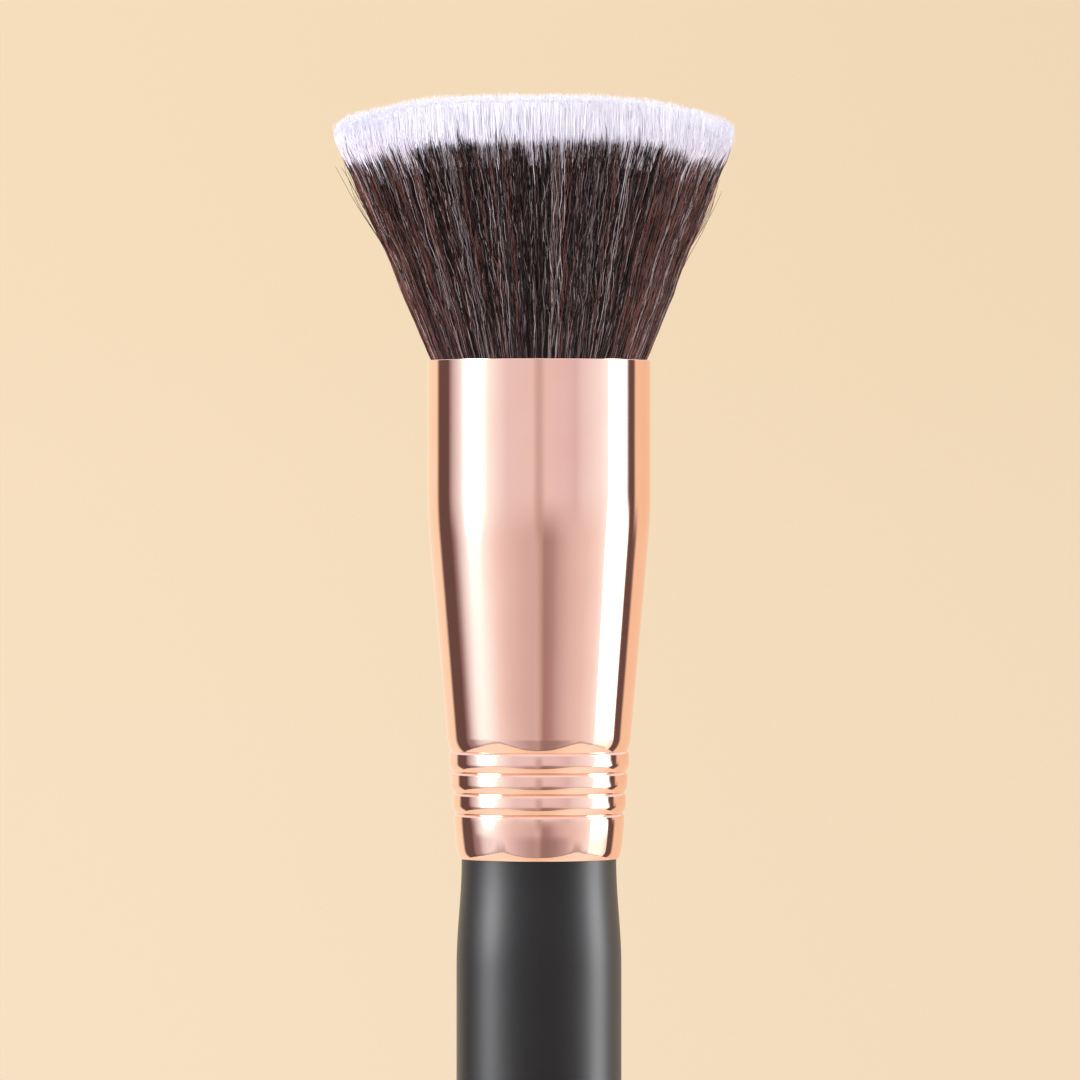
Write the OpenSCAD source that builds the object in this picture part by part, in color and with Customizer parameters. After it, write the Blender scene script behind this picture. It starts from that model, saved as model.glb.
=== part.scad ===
// Flat-top foundation brush: a turned handle, a crimped metal ferrule, and a fan of
// short dark filaments packed round longer white ones.
// All sizes are in millimetres. Z is the brush's axis, with the filaments up, and X is
// the wide direction of the photographed view. The origin is the middle of the grip.

/* [Handle] */
// Diameter of the straight grip, lacquer included
grip_d = 15.9; // [15.6:0.1:18]
// Length of the straight grip
grip_len = 14; // [8:0.5:20]
// Diameter of the neck where it enters the ferrule, lacquer included
neck_d = 14.9; // [14.8:0.05:15.2]
// Length of the swell between the neck and the grip
swell_len = 10.5; // [6:0.5:16]
// Length of the taper below the grip
taper_len = 65; // [40:1:90]
// Diameter at the end of the taper, where the rounded tail begins
tail_d = 9.6; // [7:0.1:12]
// Thickness of the lacquer
coat_t = 0.08; // [0.05:0.01:0.15]
// How far the lacquer runs up inside the ferrule
coat_entry = 0.4; // [0.2:0.1:1]
// How far the bare tenon's side is set in below the wood at the neck
tenon_step = 0.2; // [0.1:0.05:0.6]
// Length of the tenon above the ferrule's lower lip
tenon_len = 14; // [10:0.5:20]
// Chamfer at the tenon's end
tenon_chamfer = 0.8; // [0.4:0.1:1.5]

/* [Ferrule] */
// Length from the lower lip to the mouth
ferrule_len = 48; // [46:0.5:56]
// Outer diameter of the barrel at the mouth
mouth_d = 21.5; // [20.5:0.1:23]
// Thickness of the metal
wall = 0.3; // [0.2:0.05:0.4]
// Length of the straight barrel below the mouth
barrel_len = 12.5; // [11.5:0.5:14]
// Length over which the cone turns into the barrel
blend_len = 5; // [3:0.5:6]
// Gap between the lower lip and the neck
lip_gap = 0.05; // [0.03:0.01:0.1]
// Thickness of the metal at the lip's own edge
lip_edge = 0.1; // [0.06:0.02:0.16]
// Height of the skirt below the lowest crease
skirt_len = 4.35; // [3.5:0.05:6]
// How much the skirt's radius falls towards its lip
skirt_taper = 0.42; // [0.3:0.02:0.46]
// Height of the curl at the lip
curl_len = 1.2; // [0.8:0.1:1.8]
// How far the curl draws the lip in
curl_step = 0.2; // [0.1:0.02:0.3]
// Number of rolled beads
bead_count = 3; // [2:1:3]
// Spacing of the creases
bead_pitch = 2; // [1.8:0.05:2.3]
// How much the radius grows from one bead to the next
bead_step = 0.155; // [0.12:0.005:0.18]
// Depth of a crease below the bead under it
bead_relief = 0.2; // [0.12:0.01:0.22]
// Height of the long flank above a crease
flank_len = 0.85; // [0.7:0.05:1.1]
// Height of the short shoulder below a crease
shoulder_len = 0.3; // [0.2:0.05:0.4]
// Height of the body's own flank above the top crease
body_flank_len = 1.4; // [1:0.05:1.8]
// Chamfer round the mouth's rim
rim = 0.08; // [0.05:0.01:0.1]

/* [Root of the filaments] */
// Least thickness of the epoxy round the tied part of the root
plug_wall = 0.6; // [0.4:0.05:1.5]
// How far the epoxy reaches up into the straight barrel
plug_rise = 0.9; // [0.5:0.1:1.5]
// Height of the tied part of the root
tied_len = 6.4; // [5:0.1:8]
// Height over which the root spreads out to the ferrule
spread_len = 1.6; // [1:0.1:3]
// Gap between the spread root and the ferrule's inside
root_gap = 0.05; // [0.03:0.01:0.1]
// Depth from the mouth to the top of the slice that holds the filaments
slice_depth = 0.2; // [0.1:0.05:0.5]
// Thickness of the binding thread
thread_d = 0.5; // [0.4:0.05:0.6]
// Turns of the binding thread
thread_turns = 6; // [3:1:7]
// Height of the lowest turn's centre above the root's bottom
thread_rise = 1.8; // [1.2:0.1:2.2]
// Thickness of the epoxy below the root
plug_floor = 2.5; // [1.5:0.1:4]
// Gap between the epoxy's bore and the tied root
plug_gap = 0.05; // [0.03:0.01:0.1]

/* [Filaments] */
// Height of the head above the mouth, at its middle
head_h = 25; // [22:0.1:29]
// How much lower the head's edge is at the sides of the view
side_drop = 2.7; // [1:0.1:4]
// How much lower the head's edge is at the front and back
front_drop = 1.4; // [0.4:0.1:2]
// Length of white that shows above the dark filaments
white_len = 3.4; // [3:0.1:5]
// Radius of the dark fan where its pointed ends begin
dark_shoulder_r = 17.6; // [16:0.1:18]
// How much further out the dark tips stand
dark_lean = 0.7; // [0.2:0.1:1.5]
// How much shorter each dark row is than the row outside it
inner_short = 2; // [1.5:0.1:3]
// How much further out the white tips stand than the dark ones
white_lean = 1; // [0.6:0.1:1.5]
// Spacing of the dark filaments round a row, at the root
dark_pitch = 0.8; // [0.75:0.01:0.9]
// Spacing of the dark rows, at the root
dark_row = 0.65; // [0.62:0.01:0.7]
// Number of dark rows
dark_rows = 2; // [1:1:2]
// Spacing of the outer row of white filaments, at the root
fine_pitch = 0.68; // [0.65:0.01:0.8]
// Spacing of the inner white filaments round a row, at the root
white_pitch = 1.1; // [1.05:0.01:1.2]
// Spacing of the white rows, at the root
white_row = 0.85; // [0.84:0.01:0.95]
// Thickness of the slice that holds the filaments
slice_t = 1.2; // [0.8:0.1:1.5]
// Gap between the dark ring's slice and the white disc's slice
slice_gap = 0.05; // [0.03:0.01:0.08]
// Length of a dark filament's pointed end
dark_point = 3.2; // [2:0.1:4]
// Length of a white filament's pointed end
white_point = 1.2; // [0.6:0.1:2]
// How much a filament's length varies, up or down
length_jitter = 0.3; // [0:0.05:0.4]

/* [Hidden] */
$fn = 96;
// What a cut runs past the solid that it cuts
overrun = 1;
// Steps of a small curve, of the skirt, of the blend and the swell, of the taper and of
// the tail
curve_steps = 4;
skirt_steps = 8;
blend_steps = 6;
taper_steps = 12;
dome_steps = 7;
// How sharply the skirt, its curl and the body's flank turn: 1 is straight
taper_power = 1.6;
curl_power = 4;
flank_power = 2.5;
// Share of its room round a row that a filament fills
fill_share = 0.85;
// Spacing of the thread's turns, as a share of its thickness
turn_share = 0.9;
// Radius of the middle filament, as a share of the white rows' spacing
centre_share = 0.4;
// Sides of the filaments' slices
slice_sides = 60;
// A turn too small to see, which keeps two chains of points from matching exactly
tie_angle = 0.001;
// Seed of the filaments' lengths
length_seed = 7;

grip_r = grip_d / 2;
neck_r = neck_d / 2;
tail_r = tail_d / 2;
tenon_r = neck_r - coat_t - tenon_step;
mouth_r = mouth_d / 2;
bore_r = mouth_r - wall;

// Heights along the axis
lip_z = grip_len / 2 + swell_len;
mouth_z = lip_z + ferrule_len;
straight_z = mouth_z - barrel_len;
coat_top_z = lip_z + coat_entry;
tenon_top_z = lip_z + tenon_len;
taper_top_z = -grip_len / 2;
slice_top_z = mouth_z - slice_depth;
slice_z = slice_top_z - slice_t;

// The rounded tail meets the taper at the taper's own slope
tail_angle = atan((grip_r - tail_r) * PI / 2 / taper_len);
tail_ball_r = tail_r / cos(tail_angle);
tail_ball_z = taper_top_z - taper_len + tail_ball_r * sin(tail_angle);

// The ferrule's lip clears the neck. Crests and creases are counted up from the skirt,
// which is crest 0, and the cone runs from the top crest to the middle of the blend.
lip_bore_r = neck_r + lip_gap;
lip_r = lip_bore_r + lip_edge;
skirt_rise = skirt_len - shoulder_len;
skirt_r = lip_r + curl_step + skirt_taper;
body_z = crease_z(bead_count) + body_flank_len;
meet_z = straight_z - blend_len / 2;
cone_slope = (mouth_r - crest_r(bead_count + 1)) / (meet_z - body_z);

// The tied root stands in the epoxy, with its top in the straight barrel
plug_top_z = straight_z + plug_rise;
root_z = plug_top_z - tied_len;
spread_z = plug_top_z + spread_len;
root_r = bore_r - cone_slope * max(0, meet_z - root_z) - plug_wall - plug_gap;
bundle_r = bore_r - root_gap;
waist_r = root_r - thread_d;
thread_z = root_z + thread_rise;
thread_pitch = thread_d * turn_share;
thread_top_z = thread_z + (thread_turns - 1) * thread_pitch;

// Rows of filaments, from the outside in
dark_r = bundle_r - dark_row * 2 / 3;
dark_slice_r = dark_r - dark_row * (dark_rows - 1) - dark_row / 2;
white_slice_r = dark_slice_r - slice_gap;
white_r = white_slice_r - white_row * 2 / 3;
white_rows = floor(white_r / white_row);
dark_fan_r = dark_shoulder_r + dark_lean;
white_fan_r = dark_fan_r + white_lean;

function reversed(points) = [for (i = [len(points) - 1:-1:0]) points[i]];

function joined(lists) = [for (list = lists) for (item = list) item];

// Handle: the side of the turned body from the neck down to the tail, set in by the coat
function handle_side(inset) = concat(
    [for (u = [0:blend_steps]) let (s = u / blend_steps)
        [neck_r + (grip_r - neck_r) * (1 - cos(180 * s)) / 2 - inset, lip_z - swell_len * s]],
    [for (u = [0:taper_steps - 1]) let (s = u / taper_steps)
        [grip_r - (grip_r - tail_r) * (1 - cos(90 * s)) - inset, taper_top_z - taper_len * s]],
    [for (u = [0:dome_steps]) let (a = tail_angle + (90 - tail_angle) * u / dome_steps)
        [(tail_ball_r - inset) * cos(a), tail_ball_z - (tail_ball_r - inset) * sin(a)]]);

// Turned wood, bare on its tenon
module handle() {
    color("burlywood")
        rotate_extrude()
            polygon(concat(
                [[0, tenon_top_z],
                 [tenon_r - tenon_chamfer, tenon_top_z],
                 [tenon_r, tenon_top_z - tenon_chamfer],
                 [tenon_r, coat_top_z],
                 [neck_r - coat_t, coat_top_z]],
                handle_side(coat_t)));
}

// The dipped matt coat over the turned wood
module handle_lacquer() {
    color([0.17, 0.17, 0.18])
        rotate_extrude()
            polygon(concat(
                [[neck_r - coat_t, coat_top_z], [neck_r, coat_top_z]],
                handle_side(0),
                reversed(handle_side(coat_t))));
}

// Ferrule: radius of a crest or crease, height of a crease, and the curves beside it
function crest_r(i) = skirt_r + i * bead_step;

function crease_r(i) = crest_r(i) - bead_relief;

function crease_z(i) = lip_z + skirt_len + i * bead_pitch;

function shoulder(i) = [for (u = [0:curve_steps - 1]) let (s = u / curve_steps)
    [crest_r(i) - bead_relief * (1 - cos(90 * s)), crease_z(i) - shoulder_len * (1 - s)]];

function flank(i) = [for (u = [0:curve_steps]) let (s = u / curve_steps)
    [crease_r(i) + (crest_r(i + 1) - crease_r(i)) * sin(90 * s), crease_z(i) + flank_len * s]];

// Radius of the skirt at a height above the lip
function skirt_side(h) = skirt_r - skirt_taper * pow(1 - h / skirt_rise, taper_power)
    - curl_step * pow(max(0, 1 - h / curl_len), curl_power);

// The ferrule's outer side from the lip up to the rim
ferrule_side = concat(
    [for (u = [0:skirt_steps - 1]) let (h = skirt_rise * pow(u / skirt_steps, 2))
        [skirt_side(h), lip_z + h]],
    shoulder(0),
    joined([for (i = [1:bead_count]) concat(flank(i - 1), shoulder(i))]),
    [for (u = [0:blend_steps]) let (s = u / blend_steps)
        [crease_r(bead_count) + (crest_r(bead_count + 1) - crease_r(bead_count)) * (1 - pow(1 - s, flank_power)),
            crease_z(bead_count) + body_flank_len * s]],
    [for (u = [0:blend_steps]) let (s = u / blend_steps)
        [mouth_r - cone_slope * blend_len / 2 * pow(1 - s, 2), meet_z + blend_len / 2 * (2 * s - 1)]],
    [[mouth_r, mouth_z - rim]]);

// Its inner side, which is drawn no closer to the neck than the gap there
ferrule_inside = [for (p = ferrule_side) [max(p[0] - wall, lip_bore_r), p[1]]];

// Spun metal sleeve with rolled beads, glued on to the tenon
module ferrule() {
    color([0.93, 0.66, 0.56])
        rotate_extrude()
            polygon(concat(
                ferrule_side,
                [[mouth_r - rim, mouth_z], [bore_r + rim, mouth_z]],
                reversed(ferrule_inside)));
}

// The space inside the ferrule between two heights
module inside_ferrule(low_z, high_z) {
    intersection() {
        rotate_extrude()
            polygon(concat([[0, lip_z]], ferrule_inside, [[0, mouth_z - rim]]));
        translate([0, 0, low_z])
            cylinder(r = mouth_r, h = high_z - low_z);
    }
}

// Cured glue between the tenon and the ferrule
module tenon_glue() {
    color([0.85, 0.8, 0.62])
        difference() {
            inside_ferrule(coat_top_z, tenon_top_z - tenon_chamfer);
            translate([0, 0, lip_z])
                cylinder(r = tenon_r, h = tenon_len);
        }
}

// Cup of cured epoxy that holds the tied root in the ferrule
module epoxy_plug() {
    color([0.86, 0.7, 0.42])
        difference() {
            inside_ferrule(root_z - plug_floor, plug_top_z);
            translate([0, 0, root_z])
                cylinder(r = root_r + plug_gap, h = tied_len + overrun);
        }
}

// Thread wound round the root's waist
module binding_thread() {
    color([0.9, 0.88, 0.8])
        rotate_extrude()
            for (i = [0:thread_turns - 1])
                translate([waist_r + thread_d / 2, thread_z + i * thread_pitch])
                    circle(d = thread_d);
}

// The filaments' glued lower ends, tied at the waist
module root_bundle() {
    color([0.24, 0.17, 0.15])
        rotate_extrude()
            polygon([
                [0, root_z],
                [root_r, root_z],
                [root_r, thread_z - thread_d],
                [waist_r, thread_z - thread_d],
                [waist_r, thread_top_z + thread_d],
                [root_r, thread_top_z + thread_d],
                [root_r, plug_top_z],
                [bundle_r, spread_z],
                [bundle_r, slice_z],
                [0, slice_z]]);
}

// Filaments: a row is a ring of strands, given as its radius, its count, its first angle
// and the strands' own radius, which keeps them apart round the row and between rows
function ring_row(r, pitch, row_gap, turn) =
    let (count = max(3, floor(2 * PI * r / pitch)))
    [r, count, turn * 180 / count,
     min(fill_share * 2 * PI * r / (count * sqrt(3) + fill_share * PI), fill_share * row_gap * 2 / 3)];

dark_field = [for (row = [0:dark_rows - 1])
    ring_row(dark_r - row * dark_row, dark_pitch, dark_row, row % 2)];
white_field = concat(
    [for (row = [0:white_rows - 1])
        ring_row(white_r - row * white_row, row == 0 ? fine_pitch : white_pitch, white_row, row % 2)],
    [[0, 1, 0, white_row * centre_share]]);

// The head's edge drops more at the sides of the view than at the front and back
function edge_drop(a) = side_drop * pow(cos(a), 2) + front_drop * pow(sin(a), 2);

function dark_tip_z(a) = mouth_z + head_h - edge_drop(a) - white_len;

function white_tip_z(share, a) = mouth_z + head_h - edge_drop(a) * pow(share, 4);

// One three-sided level of a strand, with a corner pointing outwards
function level(r, a, size, z) = [for (k = [0:2])
    [r * cos(a) + size * cos(a + 120 * k), r * sin(a) + size * sin(a + 120 * k), z]];

function tip(r, a, z) = [[r * cos(a), r * sin(a), z]];

dark_shoulder = (dark_shoulder_r - dark_row * 2 / 3) / dark_r;
dark_spread = (dark_fan_r - dark_row * 2 / 3) / dark_r;
white_spread = (white_fan_r - white_row * 2 / 3) / white_r;
tip_jitters = rands(-length_jitter, length_jitter, 1000, length_seed);

// A dark strand runs straight to its shoulder, and its pointed end stands up from there
function dark_strand(row, i) =
    let (
        cell = dark_field[row],
        a = cell[2] + 360 * i / cell[1],
        end_z = dark_tip_z(a) - row * inner_short + tip_jitters[row * cell[1] + i],
        top_z = end_z - dark_point,
        spread = 1 + (dark_shoulder - 1) * (top_z - slice_top_z) / (dark_tip_z(a) - dark_point - slice_top_z))
    concat(
        level(cell[0], a, cell[3], slice_top_z),
        level(cell[0] * spread, a, cell[3] * spread, top_z),
        tip(cell[0] * (spread + dark_spread - dark_shoulder), a, end_z));

// A white strand stays inside the dark ones up to their shoulder, then leans over them
function white_strand(row, i) =
    let (
        cell = white_field[row],
        a = cell[2] + 360 * i / cell[1],
        end_z = white_tip_z(cell[0] / white_r, a) + tip_jitters[row * cell[1] + i])
    concat(
        level(cell[0], a, cell[3], slice_top_z),
        level(cell[0] * dark_shoulder, a, cell[3] * dark_shoulder, dark_tip_z(a) - dark_point),
        level(cell[0] * white_spread, a, cell[3] * white_spread, end_z - white_point),
        tip(cell[0] * white_spread, a, end_z));

// Faces of a strand above its foot, whose first point has the number given
function strand_faces(levels, first) = concat(
    joined([for (i = [0:levels - 2]) joined([for (k = [0:2])
        let (p = first + 3 * i + k, q = first + 3 * i + (k + 1) % 3)
            [[p, p + 3, q], [q, p + 3, q + 3]]])]),
    [for (k = [0:2]) let (top = first + 3 * (levels - 1)) [top + k, top + 3, top + (k + 1) % 3]]);

function wrapped(i, count) = (i % count + count) % count;

// Flat faces between two closed chains of points, the outer and the inner, each spaced
// evenly in angle from the angle given
function band(outer, outer_at, inner, inner_at) =
    let (n = len(outer), m = len(inner), turn = inner_at - outer_at + tie_angle)
    concat(
        [for (i = [0:n - 1])
            let (j = wrapped(ceil((360 * (i + 0.5) / n - turn) * m / 360 - 0.5), m))
                [outer[(i + 1) % n], outer[i], inner[j]]],
        [for (j = [0:m - 1])
            let (i = wrapped(floor((360 * (j + 0.5) / m + turn) * n / 360 - 0.5) + 1, n))
                [inner[j], inner[(j + 1) % m], outer[i]]]);

// Faces between two closed chains with the same count
function wall_faces(upper, lower) = let (n = len(upper)) joined([for (i = [0:n - 1])
    [[upper[i], upper[(i + 1) % n], lower[(i + 1) % n]], [upper[i], lower[(i + 1) % n], lower[i]]]]);

function circle_points(r, z) = [for (i = [0:slice_sides - 1])
    [r * cos(360 * i / slice_sides), r * sin(360 * i / slice_sides), z]];

function numbered(first) = [for (i = [0:slice_sides - 1]) first + i];

function count_before(field, row) = row == 0 ? 0 : field[row - 1][1] + count_before(field, row - 1);

// Strands and the slice that holds them, as one closed surface. With no bore the last
// row is the strand in the middle.
module fused(field, strands, levels, rim_r, hole_r) {
    each_points = 3 * levels + 1;
    rows = len(field);
    ring_rows = hole_r > 0 ? rows : rows - 1;
    firsts = [for (row = [0:rows - 1])
        [for (i = [0:field[row][1] - 1]) each_points * (count_before(field, row) + i)]];
    rim_top = each_points * count_before(field, rows);
    hole_top = rim_top + 2 * slice_sides;
    outer_chains = [for (row = [0:ring_rows - 1]) [for (first = firsts[row]) first]];
    inner_chains = [for (row = [0:ring_rows - 1]) [for (first = firsts[row]) each [first + 2, first + 1]]];
    last = ring_rows - 1;
    middle = firsts[rows - 1][0];
    polyhedron(
        points = concat(
            joined(strands),
            circle_points(rim_r, slice_top_z),
            circle_points(rim_r, slice_z),
            hole_r > 0
                ? concat(circle_points(hole_r, slice_top_z), circle_points(hole_r, slice_z))
                : [[0, 0, slice_z]]),
        faces = concat(
            joined([for (row = [0:rows - 1]) for (first = firsts[row]) strand_faces(levels, first)]),
            joined([for (row = [0:last]) let (n = field[row][1])
                joined([for (i = [0:n - 1]) let (p = firsts[row][i], q = firsts[row][(i + 1) % n])
                    [[p, p + 1, q + 2], [p, q + 2, q]]])]),
            band(numbered(rim_top), 0, outer_chains[0], field[0][2]),
            joined([for (row = [1:1:last])
                band(inner_chains[row - 1], field[row - 1][2] - 90 / field[row - 1][1],
                    outer_chains[row], field[row][2])]),
            hole_r > 0
                ? band(inner_chains[last], field[last][2] - 90 / field[last][1], numbered(hole_top), 0)
                : band(inner_chains[last], field[last][2] - 90 / field[last][1],
                    [middle, middle + 1, middle + 2], 0),
            wall_faces(numbered(rim_top), numbered(rim_top + slice_sides)),
            hole_r > 0
                ? concat(
                    wall_faces(numbered(rim_top + slice_sides), numbered(hole_top + slice_sides)),
                    wall_faces(numbered(hole_top + slice_sides), numbered(hole_top)))
                : [for (i = [0:slice_sides - 1])
                    [rim_top + slice_sides + i, rim_top + slice_sides + (i + 1) % slice_sides, hole_top]]),
        convexity = 10);
}

module dark_filaments() {
    color([0.24, 0.17, 0.15])
        fused(dark_field,
            [for (row = [0:len(dark_field) - 1]) for (i = [0:dark_field[row][1] - 1]) dark_strand(row, i)],
            2, bundle_r, dark_slice_r);
}

module white_filaments() {
    color([0.93, 0.92, 0.97])
        fused(white_field,
            [for (row = [0:len(white_field) - 1]) for (i = [0:white_field[row][1] - 1]) white_strand(row, i)],
            3, white_slice_r, 0);
}

handle();
handle_lacquer();
tenon_glue();
ferrule();
epoxy_plug();
binding_thread();
root_bundle();
dark_filaments();
white_filaments();
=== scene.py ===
# Studio scene of a flat-top foundation brush: a fan of dark and white filaments in a
# polished ferrule on a lacquered handle. Sizes are in millimetres until MM turns them
# to metres. Heights above the ferrule's mouth are called lifts.
import math
import random

import bmesh
import bpy
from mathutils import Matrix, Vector


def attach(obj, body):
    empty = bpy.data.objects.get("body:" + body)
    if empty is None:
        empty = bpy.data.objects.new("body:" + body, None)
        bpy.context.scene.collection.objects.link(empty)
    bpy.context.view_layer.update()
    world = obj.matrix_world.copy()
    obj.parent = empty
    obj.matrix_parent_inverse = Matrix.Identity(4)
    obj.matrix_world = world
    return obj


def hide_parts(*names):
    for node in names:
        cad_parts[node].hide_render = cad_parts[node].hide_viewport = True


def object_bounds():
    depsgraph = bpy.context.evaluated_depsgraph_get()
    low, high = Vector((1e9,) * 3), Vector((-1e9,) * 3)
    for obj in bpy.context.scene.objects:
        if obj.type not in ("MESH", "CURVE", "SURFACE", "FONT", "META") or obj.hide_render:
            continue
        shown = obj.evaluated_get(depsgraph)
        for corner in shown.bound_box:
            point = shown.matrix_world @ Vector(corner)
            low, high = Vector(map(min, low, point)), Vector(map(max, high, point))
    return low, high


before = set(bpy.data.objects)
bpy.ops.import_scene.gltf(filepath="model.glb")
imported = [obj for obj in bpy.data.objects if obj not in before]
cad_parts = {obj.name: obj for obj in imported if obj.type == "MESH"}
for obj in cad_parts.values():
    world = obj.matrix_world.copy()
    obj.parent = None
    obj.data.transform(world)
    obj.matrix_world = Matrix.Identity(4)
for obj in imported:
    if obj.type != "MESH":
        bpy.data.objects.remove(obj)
cad_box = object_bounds()

MM = 0.001
GRIP_LEN = 14
SWELL_LEN = 10.5
FERRULE_LEN = 48
LIP_Z = GRIP_LEN / 2 + SWELL_LEN
MOUTH_Z = LIP_Z + FERRULE_LEN
FLOOR_Z = cad_box[0][2]


def linear(code):
    """An sRGB hex colour as the linear values that Blender's sockets take."""
    parts = [int(code[i:i + 2], 16) / 255 for i in (1, 3, 5)]
    return tuple(part / 12.92 if part <= 0.04045 else ((part + 0.055) / 1.055) ** 2.4
                 for part in parts) + (1.0,)


def feed(tree, node, inputs):
    """Gives a node's inputs, by name or number, a value each, a socket to link, or another
    node, whose own result it links."""
    for key, value in inputs.items():
        if isinstance(value, bpy.types.Node):
            value = next(result for result in value.outputs if result.enabled)
        if isinstance(value, bpy.types.NodeSocket):
            tree.links.new(value, node.inputs[key])
        else:
            node.inputs[key].default_value = value


def add(tree, kind, inputs=None, stops=None, **settings):
    """Adds a node with its settings and inputs. Stops are a colour ramp's places and
    colours."""
    node = tree.nodes.new(kind)
    for name, value in settings.items():
        setattr(node, name, value)
    feed(tree, node, inputs or {})
    for number, (place, colour) in enumerate(stops or []):
        elements = node.color_ramp.elements
        element = elements[number] if number < 2 else elements.new(place)
        element.position = place
        element.color = (*colour[:3], 1.0)
    return node


def material(name):
    """A new material with its node tree, its surface shader and Object coordinates."""
    made = bpy.data.materials.new(name)
    made.use_nodes = True
    tree = made.node_tree
    surface = tree.nodes["Principled BSDF"]
    coords = add(tree, "ShaderNodeTexCoord").outputs["Object"]
    return made, tree, surface, coords


# ---------------------------------------------------------------- camera
VIEW_DISTANCE = 770 * MM
VIEW_WIDTH = 104.1 * MM
VIEW_HEIGHT = 48.2 * MM
VIEW_ASIDE = 0.1 * MM
SENSOR = 36

camera_data = bpy.data.cameras.new("camera")
camera_data.sensor_width = SENSOR
camera_data.sensor_height = SENSOR
camera_data.sensor_fit = "HORIZONTAL"
camera_data.lens = SENSOR * VIEW_DISTANCE / VIEW_WIDTH
camera = bpy.data.objects.new("camera", camera_data)
camera.location = (VIEW_ASIDE, -VIEW_DISTANCE, VIEW_HEIGHT)
camera.rotation_euler = (math.radians(90), 0, 0)
bpy.context.scene.collection.objects.link(camera)
bpy.context.scene.camera = camera


# ---------------------------------------------------------------- materials
def polished_rose_aluminium():
    """Spun aluminium, polished and anodised rose: mirror-bright, with faint spinning marks
    0.1 mm apart round the axis and a slight waviness from polishing, 5 mm long."""
    made, tree, surface, coords = material("polished_rose_aluminium")
    wave = add(tree, "ShaderNodeTexNoise", {"Vector": coords, "Scale": 210.0, "Detail": 1.0})
    tint = add(tree, "ShaderNodeValToRGB", {"Fac": wave},
               [(0.3, linear("#F8CEBB")), (0.7, linear("#FAD2C0"))])
    squeezed = add(tree, "ShaderNodeMapping", {"Vector": coords, "Scale": (60.0, 60.0, 9000.0)})
    marks = add(tree, "ShaderNodeTexNoise", {"Vector": squeezed, "Scale": 1.0, "Detail": 2.0})
    rough = add(tree, "ShaderNodeMapRange", {"Value": marks, "To Min": 0.03, "To Max": 0.075})
    relief = add(tree, "ShaderNodeBump", {"Height": wave, "Strength": 0.3, "Distance": 0.02 * MM})
    feed(tree, surface, {"Base Color": tint, "Metallic": 1.0, "Roughness": rough, "Normal": relief})
    return made


def matt_black_lacquer():
    """Dipped soft-touch lacquer over turned wood: nearly black, satin, with a very fine
    grain of 0.2 mm in its skin."""
    made, tree, surface, coords = material("matt_black_lacquer")
    cloud = add(tree, "ShaderNodeTexNoise", {"Vector": coords, "Scale": 120.0, "Detail": 3.0})
    tint = add(tree, "ShaderNodeValToRGB", {"Fac": cloud},
               [(0.3, linear("#0A0A0B")), (0.7, linear("#0E0E0F"))])
    rough = add(tree, "ShaderNodeMapRange", {"Value": cloud, "To Min": 0.38, "To Max": 0.43})
    grain = add(tree, "ShaderNodeTexNoise", {"Vector": coords, "Scale": 5200.0, "Detail": 2.0})
    relief = add(tree, "ShaderNodeBump", {"Height": grain, "Strength": 0.3, "Distance": 0.01 * MM})
    feed(tree, surface, {"Base Color": tint, "Roughness": rough, "Specular IOR Level": 0.4,
                         "Normal": relief})
    return made


def dyed_filament(name, dark, pale, rough):
    """Extruded polyester filament, dyed through: smooth enough to glint along its length,
    and dark between its glints."""
    made, tree, surface, coords = material(name)
    cloud = add(tree, "ShaderNodeTexNoise", {"Vector": coords, "Scale": 420.0, "Detail": 2.0})
    tint = add(tree, "ShaderNodeValToRGB", {"Fac": cloud},
               [(0.3, linear(dark)), (0.7, linear(pale))])
    feed(tree, surface, {"Base Color": tint, "Roughness": rough, "Specular IOR Level": 0.25})
    return made


def plain_filament():
    """Undyed polyester filament: milky white, faintly streaked where filaments lie side by
    side, and painted greyer lower down as painted shade among the dark tips. A streak is
    three filaments wide, as one alone is too fine to show."""
    made, tree, surface, coords = material("plain_white_filament")
    upright = add(tree, "ShaderNodeMapping", {"Vector": coords, "Scale": (3600.0, 3600.0, 90.0)})
    streak = add(tree, "ShaderNodeTexNoise", {"Vector": upright, "Scale": 1.0, "Detail": 2.0})
    height = add(tree, "ShaderNodeSeparateXYZ", {"Vector": coords}).outputs["Z"]
    # Painted shade: below this band of heights the filament is painted greyer, for the shade among
    # the dark tips
    clear = add(tree, "ShaderNodeMapRange", {"Value": height, "From Min": (MOUTH_Z + 19.6) * MM,
                                             "From Max": (MOUTH_Z + 23.6) * MM, "To Max": 0.85})
    tone = add(tree, "ShaderNodeMath", {0: streak, 1: 0.3, 2: clear}, operation="MULTIPLY_ADD")
    tint = add(tree, "ShaderNodeValToRGB", {"Fac": tone},
               [(0.1, linear("#DAD6E4")), (0.6, linear("#E8E7F4")), (1.0, linear("#F0EFF9"))])
    feed(tree, surface, {"Base Color": tint, "Roughness": 0.6})
    return made


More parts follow.
